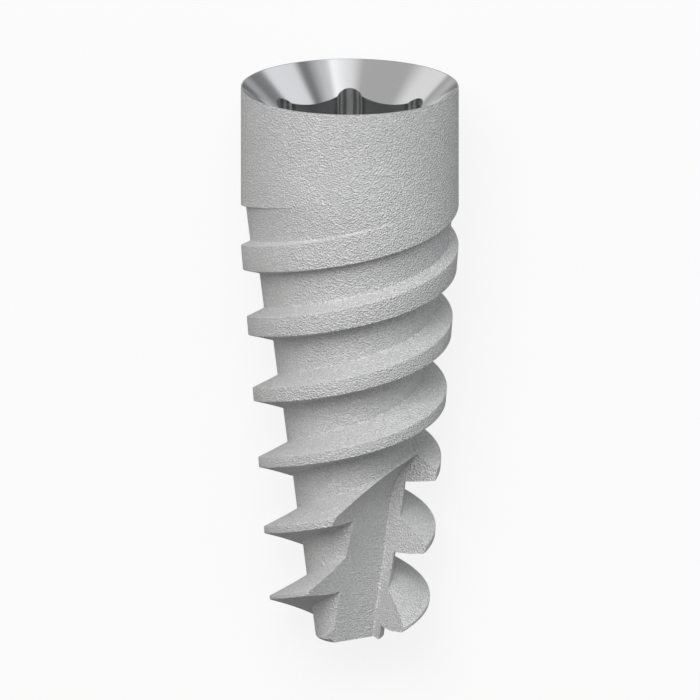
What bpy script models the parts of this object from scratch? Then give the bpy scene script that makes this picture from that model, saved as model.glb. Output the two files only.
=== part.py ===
"""A titanium dental implant: a tapered, self-tapping, double-start screw that is turned from one bar.

The implant is modelled along its own axis, with the centre of its platform at the origin and its apex
down. A parent empty then lays it on a table as a screw comes to rest: along the cone of its thread
crests, with its platform towards +Y and one cutting flute on top.

Depths are measured from the platform towards the apex. Azimuths run counter-clockwise from +X, as seen
from above the platform. Lengths are in metres and angles in degrees.
"""

import math

import bmesh
import bpy
import numpy as np
from mathutils import Matrix, Vector

# Outer envelope, which the thread crests reach
COLLAR_DIAMETER = 0.00375
COLLAR_LENGTH = 0.00279
CREST_TAPER = 4.5
LENGTH = 0.00977
APEX_CONE_HEIGHT = 0.00026
APEX_CONE_ANGLE = 15.0
APEX_CHAMFER = 0.00007

# Platform, conical seat and screw bore, all turned
PLATFORM_LAND = 0.000025
BEVEL_ANGLE = 42.6
BORE_DIAMETER = 0.0016
BORE_DEPTH = 0.0056
DRILL_POINT_ANGLE = 118.0
BORE_CHAMFER = 0.0001

# Internal hexagon with a round relief at each corner
HEX_ACROSS_FLATS = 0.00242
HEX_DEPTH = 0.0021
RELIEF_RADIUS = 0.000232
RELIEF_CENTRE = 0.001183
HEX_CORNER_AZIMUTH = 90.0

# Thread grooves: flat-bottomed, on a core that tapers faster than the crests
THREAD_STARTS = 2
THREAD_PITCH = 0.0012
GROOVE_WIDTH = 0.000614
GROOVE_TILT = 7.0
UPPER_WALL_ANGLE = 14.0
LOWER_WALL_ANGLE = 27.0
FIRST_GROOVE_DEPTH = 0.002427
FIRST_GROOVE_AZIMUTH = 0.0
FIRST_GROOVE_CUT = 0.000127
CORE_UPPER_TAPER = 11.1
CORE_LOWER_TAPER = 8.0
CORE_KNEE_DEPTH = 0.00483

# Cutting flutes: an L-shaped notch with a cutting wall and a floor, winding with the thread. The
# azimuths are those of the wall's direction and of the floor's normal, and the wall winds faster.
# Heights are measured from the apex, so that the flutes stay at the tip of an implant of any length.
FLUTE_COUNT = 2
FLUTE_REFERENCE_HEIGHT = 0.00161
FLUTE_WALL_OFFSET = 0.00036
FLUTE_WALL_AZIMUTH = -42.2
FLUTE_WALL_TWIST_PER_MM = 12.4
FLUTE_WALL_TWIST_GROWTH = 3.0
FLUTE_FLOOR_OFFSET = 0.00049
FLUTE_FLOOR_AZIMUTH = -41.8
FLUTE_FLOOR_TWIST_PER_MM = 9.9
FLUTE_FLOOR_TAPER = 7.4
FLUTE_RUNOUT_HEIGHT = 0.00229
FLUTE_RUNOUT_RADIUS = 0.00133

# The azimuth of the line along which the implant lies on the table
REST_AZIMUTH = 90.0

# How finely the round shapes are divided
SIDES = 60
FLUTE_STEPS = 28
FLUTE_RUNOUT_SHARE = 0.98
RELIEF_SIDES = 20
CUT_MARGIN = 0.0002
MERGE_DISTANCE = 1e-7

MM = 0.001


def tangent(degrees):
    return math.tan(math.radians(degrees))


def crest_radius(depth):
    """Radius of the outer envelope at a depth."""
    return COLLAR_DIAMETER / 2 - max(0.0, depth - COLLAR_LENGTH) * tangent(CREST_TAPER)


def core_radius(depth):
    """Radius of the middle of a groove's bottom at a depth."""
    first = COLLAR_DIAMETER / 2 - FIRST_GROOVE_CUT
    upper = min(depth, CORE_KNEE_DEPTH) - FIRST_GROOVE_DEPTH
    lower = max(0.0, depth - CORE_KNEE_DEPTH)
    return first - upper * tangent(CORE_UPPER_TAPER) - lower * tangent(CORE_LOWER_TAPER)


def add_object(name, shape, is_cutter=False):
    """A new object from a bmesh, with its faces turned outwards."""
    bmesh.ops.remove_doubles(shape, verts=shape.verts, dist=MERGE_DISTANCE)
    bmesh.ops.recalc_face_normals(shape, faces=shape.faces)
    mesh = bpy.data.meshes.new(name)
    shape.to_mesh(mesh)
    shape.free()
    made = bpy.data.objects.new(name, mesh)
    bpy.context.scene.collection.objects.link(made)
    made.hide_render = is_cutter
    made.display_type = "WIRE" if is_cutter else "TEXTURED"
    return made


def turned(name, profile):
    """A solid of revolution about Z from (radius, depth) points that start and end on the axis.

    One of its flats is centred on the azimuth that the implant rests on.
    """
    shape = bmesh.new()
    turn = Matrix.Rotation(math.radians(REST_AZIMUTH + 180 / SIDES), 3, "Z")
    verts = [shape.verts.new(turn @ Vector((radius, 0, -depth))) for radius, depth in profile]
    edges = [shape.edges.new(pair) for pair in zip(verts, verts[1:])]
    bmesh.ops.spin(
        shape,
        geom=verts + edges,
        cent=(0, 0, 0),
        axis=(0, 0, 1),
        angle=math.tau,
        steps=SIDES,
        use_merge=False,
    )
    return add_object(name, shape)


def swept(name, sections):
    """A cutter whose closed sections, each a list of points, are joined in order and capped."""
    shape = bmesh.new()
    rings = [[shape.verts.new(point) for point in section] for section in sections]
    for ring, following in zip(rings, rings[1:]):
        for i in range(len(ring)):
            j = (i + 1) % len(ring)
            shape.faces.new((ring[i], ring[j], following[j], following[i]))
    shape.faces.new(rings[0])
    shape.faces.new(rings[-1])
    bmesh.ops.triangulate(shape, faces=shape.faces)
    return add_object(name, shape, is_cutter=True)


def blank():
    """The turned bar before its threads: collar, crest taper, apex cone, conical seat and bore."""
    collar = COLLAR_DIAMETER / 2
    cone_start = LENGTH - APEX_CONE_HEIGHT
    cone_end = LENGTH - APEX_CHAMFER
    apex_edge = crest_radius(cone_start) - (cone_end - cone_start) / tangent(APEX_CONE_ANGLE)
    bore = BORE_DIAMETER / 2
    bore_mouth = bore + BORE_CHAMFER
    drill_point = bore / tangent(DRILL_POINT_ANGLE / 2)
    seat_top = collar - PLATFORM_LAND
    # The cone runs on down to the bore's mouth, and the hexagon cuts away the end of it.
    seat_depth = (seat_top - bore_mouth) * tangent(BEVEL_ANGLE)
    return turned(
        "implant_body",
        [
            (0, BORE_DEPTH + drill_point),
            (bore, BORE_DEPTH),
            (bore, HEX_DEPTH + BORE_CHAMFER),
            (bore_mouth, HEX_DEPTH),
            (bore_mouth, seat_depth),
            (seat_top, 0),
            (collar, 0),
            (collar, COLLAR_LENGTH),
            (crest_radius(cone_start), cone_start),
            (apex_edge, cone_end),
            (apex_edge - APEX_CHAMFER, LENGTH),
            (0, LENGTH),
        ],
    )


def groove_section(depth, azimuth):
    """The groove cutter's outline where the middle of its bottom is at this depth and azimuth."""
    half = GROOVE_WIDTH / 2
    upper = core_radius(depth) + half * tangent(GROOVE_TILT)
    lower = core_radius(depth) - half * tangent(GROOVE_TILT)
    outside = max(crest_radius(depth), upper) + CUT_MARGIN
    outline = [
        (upper, depth - half),
        (lower, depth + half),
        (outside, depth + half + (outside - lower) * tangent(LOWER_WALL_ANGLE)),
        (outside, depth - half - (outside - upper) * tangent(UPPER_WALL_ANGLE)),
    ]
    across = Vector((math.cos(azimuth), math.sin(azimuth), 0))
    return [radius * across + Vector((0, 0, -level)) for radius, level in outline]


def groove(start):
    """One start of the thread, from outside the collar, into which it fades, to below the apex."""
    lead = THREAD_PITCH * THREAD_STARTS
    clearance = FIRST_GROOVE_CUT + GROOVE_WIDTH / 2 * tangent(GROOVE_TILT) + CUT_MARGIN
    top = FIRST_GROOVE_DEPTH - clearance / tangent(CORE_UPPER_TAPER)
    bottom = LENGTH + THREAD_PITCH
    steps = math.ceil((bottom - top) / lead * SIDES)
    first = math.radians(FIRST_GROOVE_AZIMUTH) + math.tau * start / THREAD_STARTS
    sections = []
    for step in range(steps + 1):
        depth = top + step * lead / SIDES
        turn = math.tau * (depth - FIRST_GROOVE_DEPTH) / lead
        sections.append(groove_section(depth, first - turn))
    return swept(f"cut_groove_{start + 1}", sections)


def flute_floor_offset(depth):
    """Distance of the flute's floor from the axis, with the concave run-out at its top."""
    height = LENGTH - depth
    straight = FLUTE_FLOOR_OFFSET + (height - FLUTE_REFERENCE_HEIGHT) * tangent(FLUTE_FLOOR_TAPER)
    above = max(0.0, height - FLUTE_RUNOUT_HEIGHT)
    return straight + FLUTE_RUNOUT_RADIUS - math.sqrt(FLUTE_RUNOUT_RADIUS**2 - above**2)


def flute_section(depth, turn):
    """The flute cutter's outline at a depth: its corner, out along the wall, and along the floor."""
    below = (FLUTE_REFERENCE_HEIGHT - (LENGTH - depth)) / MM
    wall_twist = FLUTE_WALL_TWIST_PER_MM * below + FLUTE_WALL_TWIST_GROWTH * below**2
    wall_azimuth = math.radians(FLUTE_WALL_AZIMUTH - wall_twist) + turn
    floor_azimuth = math.radians(FLUTE_FLOOR_AZIMUTH - FLUTE_FLOOR_TWIST_PER_MM * below) + turn
    along_wall = Vector((math.cos(wall_azimuth), math.sin(wall_azimuth)))
    beside_wall = along_wall.orthogonal()
    out_of_floor = Vector((math.cos(floor_azimuth), math.sin(floor_azimuth)))
    along_floor = -out_of_floor.orthogonal()
    # The corner is where the wall's line and the floor's line cross.
    foot = FLUTE_WALL_OFFSET * beside_wall
    reach = (flute_floor_offset(depth) - foot.dot(out_of_floor)) / along_wall.dot(out_of_floor)
    corner = foot + reach * along_wall
    far = COLLAR_DIAMETER
    outline = [
        corner,
        corner + far * along_wall,
        corner + far * (along_wall + along_floor),
        corner + far * along_floor,
    ]
    return [point.to_3d() + Vector((0, 0, -depth)) for point in outline]


def flute(number):
    """One cutting flute, which curves out of the thread at its top."""
    turn = math.tau * number / FLUTE_COUNT
    top = LENGTH - FLUTE_RUNOUT_HEIGHT - FLUTE_RUNOUT_RADIUS * FLUTE_RUNOUT_SHARE
    bottom = LENGTH + CUT_MARGIN
    depths = [top + (bottom - top) * step / FLUTE_STEPS for step in range(FLUTE_STEPS + 1)]
    return swept(f"cut_flute_{number + 1}", [flute_section(depth, turn) for depth in depths])


def hexagon():
    """The wrench hexagon, down to its flat floor."""
    shape = bmesh.new()
    # A cone's first corner is made at +Y.
    turn = Matrix.Rotation(math.radians(HEX_CORNER_AZIMUTH - 90), 4, "Z")
    bmesh.ops.create_cone(
        shape,
        cap_ends=True,
        segments=6,
        radius1=HEX_ACROSS_FLATS / math.sqrt(3),
        radius2=HEX_ACROSS_FLATS / math.sqrt(3),
        depth=HEX_DEPTH + CUT_MARGIN,
        matrix=Matrix.Translation((0, 0, (CUT_MARGIN - HEX_DEPTH) / 2)) @ turn,
    )
    return add_object("cut_hexagon", shape, is_cutter=True)


def relief(corner):
    """The round relief of one corner of the hexagon."""
    azimuth = math.radians(HEX_CORNER_AZIMUTH + 60 * corner)
    place = (
        RELIEF_CENTRE * math.cos(azimuth),
        RELIEF_CENTRE * math.sin(azimuth),
        (CUT_MARGIN - HEX_DEPTH) / 2,
    )
    shape = bmesh.new()
    bmesh.ops.create_cone(
        shape,
        cap_ends=True,
        segments=RELIEF_SIDES,
        radius1=RELIEF_RADIUS,
        radius2=RELIEF_RADIUS,
        depth=HEX_DEPTH + CUT_MARGIN,
        matrix=Matrix.Translation(place) @ Matrix.Rotation(azimuth, 4, "Z"),
    )
    return add_object(f"cut_relief_{corner + 1}", shape, is_cutter=True)


def cut(body, cutter):
    boolean = body.modifiers.new(cutter.name, "BOOLEAN")
    boolean.operation = "DIFFERENCE"
    boolean.object = cutter
    boolean.solver = "EXACT"


def titanium():
    material = bpy.data.materials.new("blasted_titanium")
    material.use_nodes = True
    shader = material.node_tree.nodes["Principled BSDF"]
    shader.inputs["Base Color"].default_value = (0.40, 0.40, 0.41, 1)
    shader.inputs["Roughness"].default_value = 0.55
    shader.inputs["Metallic"].default_value = 1.0
    return material


def finished_points(body):
    """The finished solid's points, in its own frame."""
    bpy.context.view_layer.update()
    finished = body.evaluated_get(bpy.context.evaluated_depsgraph_get())
    points = np.array([vert.co[:] for vert in finished.to_mesh().vertices])
    finished.to_mesh_clear()
    return points


def lay_down(body):
    """Parents the implant to an empty that lays it along its crest cone, platform towards +Y."""
    roll = Matrix.Rotation(math.radians(90 - REST_AZIMUTH), 3, "Z")
    lean = Matrix.Rotation(math.radians(CREST_TAPER - 90), 3, "X")
    turn = lean @ roll
    placed = finished_points(body) @ np.array(turn).T
    low, high = placed.min(axis=0), placed.max(axis=0)
    middle = (low + high) / 2
    rest = bpy.data.objects.new("rest_pose", None)
    bpy.context.scene.collection.objects.link(rest)
    rest.matrix_world = Matrix.Translation((-middle[0], -middle[1], -low[2])) @ turn.to_4x4()
    body.parent = rest
    return rest


def main():
    for old in list(bpy.data.objects):
        bpy.data.objects.remove(old)
    body = blank()
    cutters = [groove(start) for start in range(THREAD_STARTS)]
    cutters += [flute(number) for number in range(FLUTE_COUNT)]
    cutters.append(hexagon())
    cutters += [relief(corner) for corner in range(6)]
    for cutter in cutters:
        cut(body, cutter)
    body.data.materials.append(titanium())
    body.data.shade_smooth()
    body.data.set_sharp_from_angle(angle=math.radians(25))
    rest = lay_down(body)
    for cutter in cutters:
        cutter.parent = rest


main()
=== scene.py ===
# Dental implant: a blasted titanium screw with a bright bevel and socket, lying on a pale floor
import math
import bpy
import numpy as np
from mathutils import Matrix, Vector


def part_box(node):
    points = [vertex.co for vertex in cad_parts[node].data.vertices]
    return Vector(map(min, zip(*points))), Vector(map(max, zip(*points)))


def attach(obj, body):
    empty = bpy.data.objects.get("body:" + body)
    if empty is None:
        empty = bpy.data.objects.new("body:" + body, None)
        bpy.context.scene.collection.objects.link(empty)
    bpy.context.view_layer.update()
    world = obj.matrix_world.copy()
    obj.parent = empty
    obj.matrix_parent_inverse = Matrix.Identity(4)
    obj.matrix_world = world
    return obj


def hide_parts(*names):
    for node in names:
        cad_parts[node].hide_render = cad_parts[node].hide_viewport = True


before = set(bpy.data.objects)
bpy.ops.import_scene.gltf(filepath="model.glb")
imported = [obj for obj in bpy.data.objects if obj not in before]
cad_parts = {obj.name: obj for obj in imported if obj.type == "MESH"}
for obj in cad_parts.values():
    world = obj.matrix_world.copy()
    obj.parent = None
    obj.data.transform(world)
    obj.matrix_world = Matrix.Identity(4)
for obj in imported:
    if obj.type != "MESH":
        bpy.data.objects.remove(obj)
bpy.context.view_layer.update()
mm = 0.001
doublesGap, sliverGap = 0.00001, 0.0001  # millimetres
print("frame loaded")


# Small helpers

def tangent(degrees):
    return math.tan(math.radians(degrees))


def fresh(name):  # names the object that an operator just made
    made = bpy.context.object
    made.name = name
    made.data.name = name
    return made


def cleanUp(piece, gap):  # merges doubles, drops slivers, closes holes and turns the faces outwards
    bpy.ops.object.select_all(action="DESELECT")
    piece.select_set(True)
    bpy.context.view_layer.objects.active = piece
    bpy.ops.object.mode_set(mode="EDIT")
    bpy.ops.mesh.select_all(action="SELECT")
    bpy.ops.mesh.remove_doubles(threshold=gap)
    bpy.ops.mesh.dissolve_degenerate(threshold=gap)
    bpy.ops.mesh.fill_holes(sides=0)
    bpy.ops.mesh.select_all(action="SELECT")
    bpy.ops.mesh.normals_make_consistent(inside=False)
    bpy.ops.object.mode_set(mode="OBJECT")


def combine(piece, tool, operation):  # a Boolean modifier, applied, and its tool thrown away
    modifier = piece.modifiers.new(tool.name, "BOOLEAN")
    modifier.operation = operation
    modifier.solver = "EXACT"
    modifier.object = tool
    bpy.ops.object.select_all(action="DESELECT")
    bpy.context.view_layer.objects.active = piece
    bpy.ops.object.modifier_apply(modifier=modifier.name)
    bpy.data.objects.remove(tool)


# A grid rolled up into a closed tube, with each of its points put in place by its column and row
def rolledSheet(name, columns, rows, place):
    bpy.ops.object.select_all(action="DESELECT")
    bpy.ops.mesh.primitive_grid_add(x_subdivisions=columns, y_subdivisions=rows, size=1)
    sheet = fresh(name)
    flat = np.empty(len(sheet.data.vertices) * 3)
    sheet.data.vertices.foreach_get("co", flat)
    flat = flat.reshape(-1, 3) + 0.5
    column = np.rint(flat[:, 0] * columns).astype(int)
    row = np.rint(flat[:, 1] * rows).astype(int)
    sheet.data.vertices.foreach_set("co", place(column, row).ravel())
    cleanUp(sheet, doublesGap)
    return sheet


# A solid turned round the implant's axis: one vertex, extruded along the profile and spun
def turned(name, profile, sides):
    bpy.ops.object.select_all(action="DESELECT")
    bpy.ops.mesh.primitive_plane_add(size=1)
    solid = fresh(name)
    bpy.ops.object.mode_set(mode="EDIT")
    bpy.ops.mesh.merge(type="CENTER")
    radius, depth = profile[0]
    bpy.ops.transform.translate(value=(radius, 0, -depth))
    for nextRadius, nextDepth in profile[1:]:
        step = (nextRadius - radius, 0, depth - nextDepth)
        bpy.ops.mesh.extrude_vertices_move(TRANSFORM_OT_translate={"value": step})
        radius, depth = nextRadius, nextDepth
    bpy.ops.mesh.select_all(action="SELECT")
    bpy.ops.mesh.spin(steps=sides, angle=math.tau, center=(0, 0, 0), axis=(0, 0, 1))
    bpy.ops.object.mode_set(mode="OBJECT")
    cleanUp(solid, doublesGap)
    return solid


def aroundAxis(radius, azimuth, depth):  # numbers or arrays to points, apex down
    return np.stack([radius * np.cos(azimuth), radius * np.sin(azimuth), -depth], axis=-1)


# The outside: collar, tapered crests and the two grooves between them. All sizes are in millimetres
# along the implant's own axis, with depths from the platform, until the piece is laid down.
body = {
    "collarRadius": 1.875,
    "collarLength": 2.79,
    "crestTaper": 4.5,  # degrees
    "length": 9.77,
    "tipConeHeight": 0.26,
    "tipConeAngle": 15,
    "tipChamfer": 0.07,
    "trimmerSides": 96,
    "smoothAngle": 32,  # edges sharper than this stay sharp
}
thread = {
    "pitch": 1.2,
    "starts": 2,
    "firstDepth": 2.427,  # where the middle of the first groove's bottom passes azimuth 0
    "firstCut": 0.127,  # its depth there
    "upperTaper": 11.1,  # of the core, down to the knee
    "lowerTaper": 8.0,
    "kneeDepth": 4.83,
    "bottomWidth": 0.614,
    "bottomTilt": 7,
    "upperFlank": 14,
    "lowerFlank": 27,
    "crestRound": 0.022,
    "rootRound": 0.03,
    "fadeDepth": 0.15,  # a groove shallower than this melts into the collar
    "fadeSoftness": 0.05,
    "fadeCorner": 0.6,  # where the bottom corner lies across a groove that has no upper flank yet
    "sides": 240,
    "roundSteps": 4,
    "roundShare": 0.45,  # of a corner's shorter side, the most that a round takes
}


def crestRadius(depth):
    return body["collarRadius"] - np.maximum(0, depth - body["collarLength"]) * tangent(body["crestTaper"])


def coreRadius(depth):  # of the middle of a groove's bottom; there is no groove below the tip
    upper = np.minimum(depth, thread["kneeDepth"]) - thread["firstDepth"]
    lower = np.maximum(0, depth - thread["kneeDepth"])
    first = body["collarRadius"] - thread["firstCut"]
    core = first - upper * tangent(thread["upperTaper"]) - lower * tangent(thread["lowerTaper"])
    lastGroove = body["length"] + thread["bottomWidth"]
    return np.where(depth > lastGroove, 2 * body["collarRadius"], core)


# The four corners of a groove's section as (radius, depth): upper crest edge, upper root, lower root
# and lower crest edge. Where the groove fades into the collar they run together.
def grooveCorners(middle):
    half = thread["bottomWidth"] / 2
    tilt = tangent(thread["bottomTilt"])
    core = coreRadius(middle)
    upperRoot, lowerRoot = core + half * tilt, core - half * tilt
    upper, lower = -half, half
    for _ in range(4):
        crest = crestRadius(middle + upper)
        onFlank = -half - (crest - upperRoot) * tangent(thread["upperFlank"])
        onBottom = np.clip((core - crest) / tilt, -half, half)
        upper = np.where(crest > upperRoot, onFlank, onBottom)
        flankHeight = np.maximum(0, crestRadius(middle + lower) - lowerRoot)
        lower = half + flankHeight * tangent(thread["lowerFlank"])
    upperEdge = np.stack([crestRadius(middle + upper), middle + upper], axis=-1)
    lowerEdge = np.stack([crestRadius(middle + lower), middle + lower], axis=-1)
    hasUpper = (upperEdge[..., 0] > upperRoot)[..., None]
    hasLower = (lowerEdge[..., 0] > lowerRoot)[..., None]
    lowerCorner = np.where(hasLower, np.stack([lowerRoot, middle + half], axis=-1), lowerEdge)
    onFade = upperEdge + thread["fadeCorner"] * (lowerCorner - upperEdge)
    upperCorner = np.where(hasUpper, np.stack([upperRoot, middle - half], axis=-1), onFade)
    return upperEdge, upperCorner, lowerCorner, lowerEdge


def rounded(before, corner, after, radius):  # the points of a rounded corner, in a list
    back, ahead = before - corner, after - corner
    backLength = np.linalg.norm(back, axis=-1, keepdims=True)
    aheadLength = np.linalg.norm(ahead, axis=-1, keepdims=True)
    back = back / np.maximum(backLength, 1e-9)
    ahead = ahead / np.maximum(aheadLength, 1e-9)
    halfTurn = np.arccos(np.clip(-(back * ahead).sum(axis=-1, keepdims=True), -1, 1)) / 2
    limit = thread["roundShare"] * np.minimum(backLength, aheadLength)
    reach = np.minimum(radius * np.tan(halfTurn), limit)
    steps = np.linspace(0, 1, thread["roundSteps"] + 1)
    start, end = corner + reach * back, corner + reach * ahead
    return [(1 - s) ** 2 * start + 2 * s * (1 - s) * corner + s**2 * end for s in steps]


def threadedBar():
    lead = thread["pitch"] * thread["starts"]
    stations = 4 * (thread["roundSteps"] + 1) + 1
    firstTurn, lastTurn = -2, 9  # grooves counted from the first, past both ends of the implant
    azimuths = np.linspace(0, math.tau, thread["sides"] + 1)
    turns = np.arange(firstTurn, lastTurn + 1)
    middles = thread["firstDepth"] + thread["pitch"] * turns - lead * azimuths[:, None] / math.tau
    edgeAbove = grooveCorners(middles - thread["pitch"])[3]
    upperEdge, upperRoot, lowerRoot, lowerEdge = grooveCorners(middles)
    edgeBelow = grooveCorners(middles + thread["pitch"])[0]
    crestAbove, crestBelow = (edgeAbove + upperEdge) / 2, (lowerEdge + edgeBelow) / 2
    for crest in (crestAbove, crestBelow):
        crest[..., 0] = crestRadius(crest[..., 1])
    section = [crestAbove]
    section += rounded(crestAbove, upperEdge, upperRoot, thread["crestRound"])
    section += rounded(upperEdge, upperRoot, lowerRoot, thread["rootRound"])
    section += rounded(upperRoot, lowerRoot, lowerEdge, thread["rootRound"])
    section += rounded(lowerRoot, lowerEdge, crestBelow, thread["crestRound"])
    section = np.stack(section, axis=2)
    crest = crestRadius(section[..., 1])
    drop = np.maximum(0, crest - section[..., 0])
    grooveDepth = drop.max(axis=2, keepdims=True)
    soft = thread["fadeSoftness"] * np.clip(1 - grooveDepth / thread["fadeDepth"], 0, 1)
    melted = crest - drop**2 / (drop + soft + 1e-9)
    section[..., 0] = np.where(drop > 0, melted, section[..., 0])

    def place(column, row):
        radius, depth = section[column, row // stations, row % stations].T
        return aroundAxis(radius, azimuths[column], depth)

    return rolledSheet("implant", thread["sides"], stations * (lastTurn - firstTurn), place)


def endsTrimmer():  # what the implant keeps: all between the platform and the tip's cone
    reach = 2 * body["collarRadius"]
    coneStart = body["length"] - body["tipConeHeight"]
    coneEnd = body["length"] - body["tipChamfer"]
    startRadius = float(crestRadius(coneStart))
    endRadius = startRadius - (coneEnd - coneStart) / tangent(body["tipConeAngle"])
    profile = [
        (0, 0),
        (reach, 0),
        (reach, coneStart - (reach - startRadius) * tangent(body["tipConeAngle"])),
        (endRadius, coneEnd),
        (endRadius - body["tipChamfer"], body["length"]),
        (0, body["length"]),
    ]
    return turned("endsTrimmer", profile, body["trimmerSides"])


# The cutting flutes: an L-shaped notch, its wall winding faster than its floor. Heights are from the
# tip, and turns are in degrees for each millimetre.
flute = {
    "count": 2,
    "referenceHeight": 1.61,
    "wallOffset": 0.36,
    "wallAzimuth": -42.2,
    "wallTwist": 12.4,
    "wallTwistGrowth": 3.0,
    "floorOffset": 0.49,
    "floorAzimuth": -41.8,
    "floorTwist": 9.9,
    "floorTaper": 7.4,
    "runoutHeight": 2.29,
    "runoutRadius": 1.33,
    "runoutShare": 0.98,  # of that radius, which the cutter follows
    "overrun": 0.2,  # how far the cutter reaches past the tip
    "cornerRound": 0.03,
    "steps": 72,
}


def fluteCutter(number):
    top = body["length"] - flute["runoutHeight"] - flute["runoutShare"] * flute["runoutRadius"]
    depths = np.linspace(top, body["length"] + flute["overrun"], flute["steps"] + 1)
    height = body["length"] - depths
    below = flute["referenceHeight"] - height
    turn = math.tau * number / flute["count"]
    wallAzimuth = flute["wallAzimuth"] - flute["wallTwist"] * below - flute["wallTwistGrowth"] * below**2
    wallAngle = np.radians(wallAzimuth) + turn
    floorAngle = np.radians(flute["floorAzimuth"] - flute["floorTwist"] * below) + turn
    alongWall = np.stack([np.cos(wallAngle), np.sin(wallAngle)], axis=-1)
    besideWall = np.stack([-np.sin(wallAngle), np.cos(wallAngle)], axis=-1)
    outOfFloor = np.stack([np.cos(floorAngle), np.sin(floorAngle)], axis=-1)
    alongFloor = np.stack([np.sin(floorAngle), -np.cos(floorAngle)], axis=-1)
    runout = np.maximum(0, height - flute["runoutHeight"])
    floor = flute["floorOffset"] - below * tangent(flute["floorTaper"])
    floor = floor + flute["runoutRadius"] - np.sqrt(flute["runoutRadius"] ** 2 - runout**2)
    foot = flute["wallOffset"] * besideWall
    crossing = (floor - (foot * outOfFloor).sum(axis=-1)) / (alongWall * outOfFloor).sum(axis=-1)
    corner = foot + crossing[:, None] * alongWall
    far = 2 * body["collarRadius"]
    wallEnd, floorEnd = corner + far * alongWall, corner + far * alongFloor
    section = [*rounded(floorEnd, corner, wallEnd, flute["cornerRound"]), wallEnd]
    section += [wallEnd + far * alongFloor, floorEnd]
    section = np.stack([*section, section[0]], axis=1)

    def place(column, row):
        across = section[row, column]
        return np.column_stack([across, -depths[row]])

    return rolledSheet("fluteCutter", section.shape[1] - 1, flute["steps"], place)


# The bevel, the hexagon with its corner reliefs, and the threaded bore for the screw
socket = {
    "land": 0.025,
    "bevelAngle": 42.6,
    "acrossFlats": 2.42,
    "hexDepth": 2.1,
    "reliefRadius": 0.232,
    "reliefCentre": 1.183,
    "reliefSteps": 16,
    "lap": 0.1,  # how far one cutter reaches into the next, so that no faces coincide
    "above": 0.5,  # how far the cutters stand out of the platform
    "slack": 0.01,  # how loosely its faces are told from the others
    "sides": 192,
}
bore = {
    "radius": 0.8,
    "depth": 5.6,
    "chamfer": 0.1,
    "drillAngle": 118,
    "threadRadius": 0.9,
    "threadPitch": 0.35,
    "threadTop": 2.15,
    "threadTurns": 9,
    "threadStations": [0.02, 0.44, 0.56, 0.98],  # crest, root, root and crest, as parts of the pitch
    "crestLap": 0.01,  # how far the thread's crests lie inside the bore's wall
    "sides": 96,
}


def boreThread():  # a V thread, one turn of it in four stations
    crest, root = bore["radius"] - bore["crestLap"], bore["threadRadius"]
    radii = np.array([crest, root, root, crest])
    places = np.array(bore["threadStations"]) * bore["threadPitch"]
    azimuths = np.linspace(0, math.tau, bore["sides"] + 1)

    def place(column, row):
        turnDepth = bore["threadTop"] + bore["threadPitch"] * (row // 4 - column / bore["sides"])
        return aroundAxis(radii[row % 4], azimuths[column], turnDepth + places[row % 4])

    return rolledSheet("boreThread", bore["sides"], 4 * bore["threadTurns"] - 1, place)


# The hexagon with a round relief at each corner, one of which is at +Y as the photo shows
def hexagonCutter():
    top = socket["lap"] - socket["above"]
    corners = np.radians(30 + 60 * np.arange(6))[:, None]
    toFlat = socket["acrossFlats"] / 2 - socket["reliefCentre"] * math.cos(math.radians(30))
    half = math.radians(30) + math.acos(toFlat / socket["reliefRadius"])
    turns = corners + np.linspace(-half, half, socket["reliefSteps"] + 1)
    x = socket["reliefCentre"] * np.cos(corners) + socket["reliefRadius"] * np.cos(turns)
    y = socket["reliefCentre"] * np.sin(corners) + socket["reliefRadius"] * np.sin(turns)
    outline = np.stack([x.ravel(), y.ravel()], axis=-1)

    def place(column, row):
        depths = np.where(row == 0, top, socket["hexDepth"])
        return np.column_stack([outline[column % len(outline)], -depths])

    return rolledSheet("hexagon", len(outline), 1, place)


def socketCutter():
    above, lap = socket["above"], socket["lap"]
    seatTop = body["collarRadius"] - socket["land"]
    mouth = bore["radius"] + bore["chamfer"]
    profile = [
        (0, -above),
        (seatTop + above / tangent(socket["bevelAngle"]), -above),
        (mouth, (seatTop - mouth) * tangent(socket["bevelAngle"])),
        (mouth + lap, socket["hexDepth"] - lap),
        (bore["radius"], socket["hexDepth"] + bore["chamfer"]),
        (bore["radius"], bore["depth"]),
        (0, bore["depth"] + bore["radius"] / tangent(bore["drillAngle"] / 2)),
    ]
    cutter = turned("socketCutter", profile, socket["sides"])
    combine(cutter, hexagonCutter(), "UNION")
    combine(cutter, boreThread(), "UNION")
    return cutter


def finishNumber(face):  # 0 is blasted, 1 is the bright platform and bevel, 2 is the socket and the bore
    centre, slack = face.center, socket["slack"]
    radius, depth = math.hypot(centre.x, centre.y), -centre.z
    onPlatform = depth < slack / 10
    reliefReach = socket["reliefCentre"] + socket["reliefRadius"] + slack
    inBevel = radius < body["collarRadius"] - depth / tangent(socket["bevelAngle"])
    inHexagon = depth < socket["hexDepth"] + slack and radius < reliefReach
    inBore = depth < bore["depth"] + bore["radius"] and radius < bore["threadRadius"] + slack
    facesUp = face.normal.z > 0.5
    if onPlatform or (inBevel or inHexagon) and facesUp and depth < socket["hexDepth"] - slack:
        return 1
    return 2 if inBevel or inHexagon or inBore else 0


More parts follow.
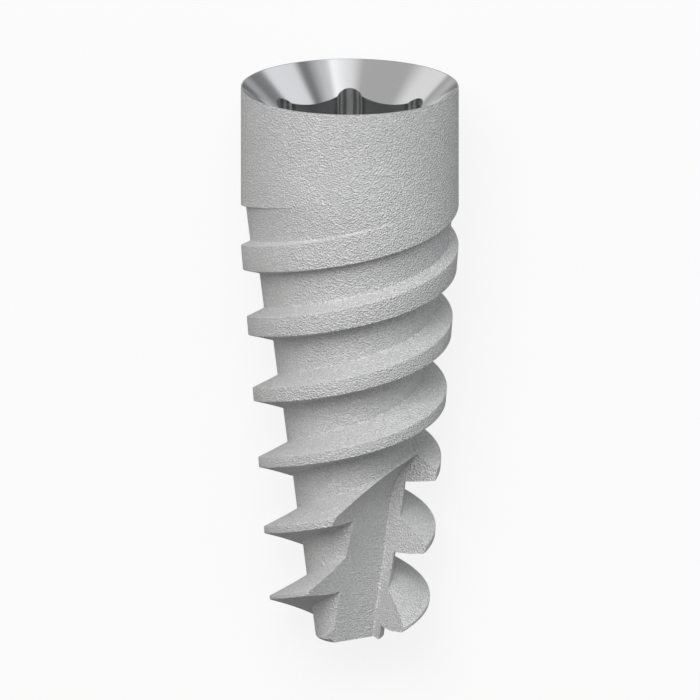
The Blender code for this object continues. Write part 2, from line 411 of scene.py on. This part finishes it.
# Node sums that read as plain Python, and one way to add any other node
class Sum:
    def __init__(self, finish, socket):
        self.finish, self.socket = finish, socket

    def math(self, operation, *values):  # on this sum alone where no values are given
        sockets = dict(enumerate(values or [self]))
        return self.finish.node("ShaderNodeMath", {"operation": operation}, sockets)

    def folded(self, width):  # back and forth between 0 and the width
        return self.math("PINGPONG", self, width)

    def __add__(self, other):
        return self.math("ADD", self, other)

    def __sub__(self, other):
        return self.math("SUBTRACT", self, other)

    def __rsub__(self, other):
        return self.math("SUBTRACT", other, self)

    def __mul__(self, other):
        return self.math("MULTIPLY", self, other)

    __radd__, __rmul__ = __add__, __mul__


class Finish:
    def __init__(self, owner):
        owner.use_nodes = True
        self.tree = owner.node_tree

    def fill(self, node, sockets):
        for key, value in sockets.items():
            if isinstance(value, Sum):
                self.tree.links.new(value.socket, node.inputs[key])
            else:
                node.inputs[key].default_value = value

    def node(self, kind, settings, sockets, output=0):
        made = self.tree.nodes.new(kind)
        stops = settings.pop("stops", None)
        for key, value in settings.items():
            setattr(made, key, value)
        if stops:
            ramp = made.color_ramp.elements
            while len(ramp) < len(stops):
                ramp.new(1)
            for element, (position, grey) in zip(ramp, stops):
                element.position = position
                element.color = (grey, grey, grey, 1)
        self.fill(made, sockets)
        return Sum(self, made.outputs[output])

    def mixed(self, factor, first, second):  # a colour between two
        return self.node("ShaderNodeMix", {"data_type": "RGBA"}, {0: factor, 6: first, 7: second}, 2)


# The implant's own frame in object coordinates, to turn patterns about its axis
laid = {
    "lean": body["crestTaper"] - 90,  # degrees about X
    "place": (0.0, 0.0, 0.0),  # of the platform's centre, in metres, filled in from the frame
}


def settlePlace():
    low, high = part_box("implant_body")
    taper = math.radians(body["crestTaper"])
    radius = body["collarRadius"] * mm
    x = (low[0] + high[0]) / 2
    y = high[1] - math.sin(taper) * radius
    z = low[2] + math.cos(taper) * (radius + body["collarLength"] * mm * math.tan(taper))
    laid["place"] = (x, y, z)


blasted = {
    "pitShadeGrey": (0.30, 0.30, 0.305, 1),
    "peakGrey": (0.68, 0.68, 0.68, 1),
    "metallic": 0.3,
    "roughness": 0.65,
    "roughnessSpread": 0.12,
    "grainScale": 42000,  # grains in a metre
    "pitScale": 31000,
    "pitShare": 0.5,  # of the relief, against the grain's
    "grainDepth": 0.000034,
    "cloudScale": 900,
    "cloudShare": 0.15,  # of the colour's range
}


def blastedTitanium():
    material = bpy.data.materials.new("blastedTitanium")
    finish = Finish(material)
    shader = finish.tree.nodes["Principled BSDF"]
    place = finish.node("ShaderNodeTexCoord", {}, {}, "Object")
    noise, cells = "ShaderNodeTexNoise", "ShaderNodeTexVoronoi"
    grain = finish.node(noise, {}, {"Vector": place, "Scale": blasted["grainScale"], "Detail": 0})
    cloud = finish.node(noise, {}, {"Vector": place, "Scale": blasted["cloudScale"], "Detail": 2})
    pits = finish.node(cells, {}, {"Vector": place, "Scale": blasted["pitScale"]})
    relief = pits * blasted["pitShare"] + grain * (1 - blasted["pitShare"])
    bump = finish.node(
        "ShaderNodeBump", {}, {"Height": relief, "Strength": 1.0, "Distance": blasted["grainDepth"]}
    )
    # The grey is painted darker in the pits, as shade there, and also varies at random with the grain and
    # the clouds
    grainToneAndPitShade = relief + cloud * blasted["cloudShare"] - blasted["cloudShare"] / 2
    lowest = blasted["roughness"] - blasted["roughnessSpread"] / 2
    finish.fill(
        shader,
        {
            "Base Color": finish.mixed(grainToneAndPitShade, blasted["pitShadeGrey"], blasted["peakGrey"]),
            "Metallic": blasted["metallic"],
            "Roughness": grain * blasted["roughnessSpread"] + lowest,
            "Normal": bump,
        },
    )
    return material


bright = {
    "colour": (0.73, 0.73, 0.74, 1),
    "dullColour": (0.68, 0.68, 0.69, 1),
    "roughness": 0.08,
    "roughnessSpread": 0.06,
    "ringScale": 60000,
    "ringDepth": 0.0000003,
    "socketRoughness": 0.2,
    "paintedShadeGrey": (0.40, 0.41, 0.41, 1),
    "paintedReflectionGrey": (0.86, 0.86, 0.86, 1),
    # Painted reflections and painted shade: streaks down the socket, from dark 0 to light 1, by the
    # degrees from the middle of a corner relief to the middle of the next flat
    "paintedReflectionStreaks": [
        (0, 1), (1.8, 1), (2.6, 0.35), (4.6, 0.35), (5.2, 1),
        (6.4, 1), (7.0, 0.3), (7.8, 0.25), (8.4, 1), (9.2, 1),
        (9.8, 0.1), (11.5, 0.15), (13, 0.54), (30, 0.38),
    ],
}


def brightTitanium(name, isSocket):  # with turned rings on the bevel, or streaks of painted reflection and painted shade down the socket
    material = bpy.data.materials.new(name)
    finish = Finish(material)
    shader = finish.tree.nodes["Principled BSDF"]
    place = finish.node("ShaderNodeTexCoord", {}, {}, "Object")
    # Into the implant's own frame, where the turning marks are rings about Z
    own = finish.node(
        "ShaderNodeMapping",
        {"vector_type": "TEXTURE"},
        {"Vector": place, "Location": laid["place"], "Rotation": (math.radians(laid["lean"]), 0, 0)},
    )
    across = finish.node("ShaderNodeSeparateXYZ", {}, {0: own}, "X")
    back = Sum(finish, across.socket.node.outputs["Y"])
    normal = {}
    if isSocket:
        sector = 30  # degrees
        fromRelief = across.math("ARCTAN2", across, back).folded(math.radians(sector))
        stops = [(degrees / sector, level) for degrees, level in bright["paintedReflectionStreaks"]]
        # Painted reflections and painted shade: the socket's walls are lighter and darker in streaks by
        # angle
        ringsAndPaintedStreaks = finish.node(
            "ShaderNodeValToRGB", {"stops": stops}, {0: fromRelief * (1 / math.radians(sector))}
        )
        tones, roughness = ("paintedShadeGrey", "paintedReflectionGrey"), bright["socketRoughness"]
    else:
        radius = (across * across + back * back).math("SQRT")
        ringsAndPaintedStreaks = finish.node(
            "ShaderNodeTexNoise",
            {"noise_dimensions": "1D"},
            {"W": radius, "Scale": bright["ringScale"], "Detail": 3},
        )
        normal["Normal"] = finish.node(
            "ShaderNodeBump", {}, {"Height": ringsAndPaintedStreaks, "Strength": 0.5, "Distance": bright["ringDepth"]}
        )
        tones, roughness = ("dullColour", "colour"), bright["roughness"]
    finish.fill(
        shader,
        {
            "Base Color": finish.mixed(ringsAndPaintedStreaks, bright[tones[0]], bright[tones[1]]),
            "Metallic": 1.0,
            "Roughness": ringsAndPaintedStreaks * bright["roughnessSpread"] + roughness,
            **normal,
        },
    )
    return material


def makeImplant():
    implant = threadedBar()
    print("thread rolled:", len(implant.data.polygons), "faces")
    combine(implant, endsTrimmer(), "INTERSECT")
    print("ends trimmed")
    combine(implant, socketCutter(), "DIFFERENCE")
    print("socket cut")
    for number in range(flute["count"]):
        combine(implant, fluteCutter(number), "DIFFERENCE")
    cleanUp(implant, sliverGap)
    print("flutes cut:", len(implant.data.polygons), "faces")
    implant.data.materials.clear()
    implant.data.materials.append(blastedTitanium())
    implant.data.materials.append(brightTitanium("turnedTitanium", False))
    implant.data.materials.append(brightTitanium("socketTitaniumPaintedReflections", True))
    for face in implant.data.polygons:
        face.material_index = finishNumber(face)
    bpy.ops.object.select_all(action="DESELECT")
    implant.select_set(True)
    bpy.context.view_layer.objects.active = implant
    bpy.ops.object.shade_smooth_by_angle(angle=math.radians(body["smoothAngle"]))
    implant.scale = (mm, mm, mm)
    implant.rotation_euler = (math.radians(laid["lean"]), 0, 0)
    implant.location = laid["place"]
    bpy.ops.object.transform_apply(location=True, rotation=True, scale=True)
    return implant


settlePlace()
implant = makeImplant()
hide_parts("implant_body")
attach(implant, "root")
print("implant made")


# The camera of the photo, which looks at the implant from 15 degrees above its platform, in parallel
view = {
    "tilt": 15,
    "pictureSize": 700,  # pixels
    "axisColumn": 349.78,  # of the implant's axis
    "platformRow": 86.8,  # of the platform's centre
    "collarPixels": 217.88,  # the collar's diameter
    "distance": 0.05,
}


def addCamera():
    pixel = 2 * body["collarRadius"] * mm / view["collarPixels"]
    half = view["pictureSize"] / 2
    turn = Matrix.Rotation(math.radians(90 - view["tilt"] + laid["lean"]), 3, "X")
    right, up = (half - view["axisColumn"]) * pixel, (view["platformRow"] - half) * pixel
    aside = Vector((right, up, view["distance"]))
    bpy.ops.object.camera_add(
        location=Vector(laid["place"]) + turn @ aside,
        rotation=turn.to_euler(),
    )
    camera = bpy.context.object
    camera.data.type = "ORTHO"
    camera.data.ortho_scale = view["pictureSize"] * pixel
    camera.data.clip_start = 0.0001
    camera.data.clip_end = 1
    bpy.context.scene.camera = camera


addCamera()


# A pale floor, which glows for the camera and keeps the shadow. The metal shows the white walls
# and the gaps between them all round, also where the floor is.
pale = {
    "size": 0.6,  # metres
    "seenColour": 0.08,
    "seenGlow": 0.86,
    "floorColour": 0.45,
}


def addFloor():
    bpy.ops.object.select_all(action="DESELECT")
    bpy.ops.mesh.primitive_plane_add(size=pale["size"])
    floor = fresh("floor")
    material = bpy.data.materials.new("paleFloor")
    finish = Finish(material)

    def look(grey, glow):
        lit = finish.node("ShaderNodeBsdfDiffuse", {}, {"Color": (grey, grey, grey, 1)})
        own = finish.node("ShaderNodeEmission", {}, {"Color": (glow, glow, glow, 1), "Strength": 1.0})
        return finish.node("ShaderNodeAddShader", {}, {0: lit, 1: own})

    camera = finish.node("ShaderNodeLightPath", {}, {}, "Is Camera Ray")
    glossy = Sum(finish, camera.socket.node.outputs["Is Glossy Ray"])
    plain = look(pale["floorColour"], 0)
    clear = finish.node("ShaderNodeBsdfTransparent", {}, {})
    unseen = finish.node("ShaderNodeMixShader", {}, {0: glossy, 1: plain, 2: clear})
    seenLook = look(pale["seenColour"], pale["seenGlow"])
    seen = finish.node("ShaderNodeMixShader", {}, {0: camera, 1: unseen, 2: seenLook})
    finish.tree.nodes.remove(finish.tree.nodes["Principled BSDF"])
    finish.fill(finish.tree.nodes["Material Output"], {"Surface": seen})
    floor.data.materials.append(material)


addFloor()


# The studio: a white room for the camera, and soft boxes with gaps between them for the metal
studio = {
    "white": (0.956, 0.956, 0.956, 1),
    "overhead": 0.52,  # the even light's level there and at the sides
    "sides": 0.76,
    "overheadFade": (-1.0, 0.1),  # spans run along the implant's own axes, back being into the floor
    "headShare": 0.62,  # how much more comes from the head's side than from the foot's
    "underShare": 0.65,  # how much less comes from below, where the floor is in the shade
    "underFade": (0.3, 0.9),
    "rimShare": 0.55,  # how much darker the bands are right behind the implant
    "rimFade": (0.85, 0.965),
    "coolRight": 0.02,
    "headFade": (-0.1, 0.1),  # where the bands begin, towards the head
    "frontFade": (-0.55, -0.25),  # and where they end, on the side that is up
    "topLevel": 1.4,  # the level of the bands that a ramp's 1 stands for
    "topLight": 1.45,  # and the light that it gives
    # White walls and the gaps between them, round the head of the implant from its left side over
    # the platform to its right side: degrees from straight above the platform, and the level there
    "bands": [
        (-90, 0.40), (-68, 0.48), (-60, 0.58), (-56, 0.48), (-54.5, 0.35),
        (-52.5, 0.92), (-42, 0.90), (-35, 0.50), (-9, 0.50), (-2, 0.90),
        (4.5, 1.05), (11.5, 1.30), (15, 0.74), (19, 0.68), (24, 0.42),
        (26.5, 0.22), (29.5, 0.22), (33, 0.90), (46, 0.94), (48.5, 0.28),
        (54.5, 0.22), (57.5, 0.42), (62, 0.44), (67, 0.30), (90, 0.34),
    ],
}


def addStudio():
    world = bpy.data.worlds.new("studio")
    bpy.context.scene.world = world
    finish = Finish(world)

    def fade(value, span, low=0.0, high=1.0):  # softly from low to high across the span
        ends = {"From Min": span[0], "From Max": span[1], "To Min": low, "To Max": high}
        settings = {"interpolation_type": "SMOOTHSTEP"}
        return finish.node("ShaderNodeMapRange", settings, {"Value": value, **ends})

    toSky = finish.node("ShaderNodeTexCoord", {}, {}, "Generated")
    own = finish.node(
        "ShaderNodeMapping",
        {"vector_type": "TEXTURE"},
        {"Vector": toSky, "Rotation": (math.radians(laid["lean"]), 0, 0)},
    )
    across = finish.node("ShaderNodeSeparateXYZ", {}, {0: own}, "X")
    back = Sum(finish, across.socket.node.outputs["Y"])
    ahead = Sum(finish, across.socket.node.outputs["Z"])
    angle = across.math("ARCTAN2", across, ahead) * (1 / math.pi) + 0.5
    stops = [(0.5 + degrees / 180, level / studio["topLevel"]) for degrees, level in studio["bands"]]
    bands = finish.node("ShaderNodeValToRGB", {"stops": stops}, {0: angle}) * studio["topLight"]
    # The bands fill the head's side, and elsewhere there is only even light.
    banded = fade(ahead, studio["headFade"]) * fade(back, studio["frontFade"])
    rim = fade(back, studio["rimFade"], high=studio["rimShare"])
    high = fade(back, studio["overheadFade"], studio["overhead"], studio["sides"])
    under = fade(back, studio["underFade"], high=studio["underShare"])
    even = (high + ahead * studio["headShare"]) * (1 - under)
    light = bands * banded * (1 - rim) + even * (1 - banded)
    seen = finish.node("ShaderNodeLightPath", {}, {}, "Is Camera Ray")
    warm = light * (1 - across * studio["coolRight"])
    cool = light * (across * studio["coolRight"] + 1)
    shade = finish.node("ShaderNodeCombineColor", {}, {0: warm, 1: light, 2: cool})
    colour = finish.mixed(seen, shade, studio["white"])
    finish.fill(finish.tree.nodes["Background"], {"Color": colour, "Strength": 1.0})


addStudio()


# One round soft box above the implant, towards its head
softBox = {
    "direction": (-0.12, -0.80, 0.59),  # in the implant's own frame
    "distance": 0.3,  # metres
    "radius": 0.09,
    "level": 10.8,  # of white
}


def addSoftBox():
    turn = Matrix.Rotation(math.radians(laid["lean"]), 3, "X")
    away = (turn @ Vector(softBox["direction"])).normalized()
    bpy.ops.object.light_add(type="AREA", location=away * softBox["distance"])
    lamp = bpy.context.object
    lamp.rotation_euler = away.to_track_quat("Z", "Y").to_euler()
    lamp.data.shape = "DISK"
    lamp.data.size = 2 * softBox["radius"]
    lamp.data.energy = softBox["level"] * math.pi**2 * softBox["radius"] ** 2


addSoftBox()
bpy.context.scene.view_settings.view_transform = "Standard"

print("scene ready")
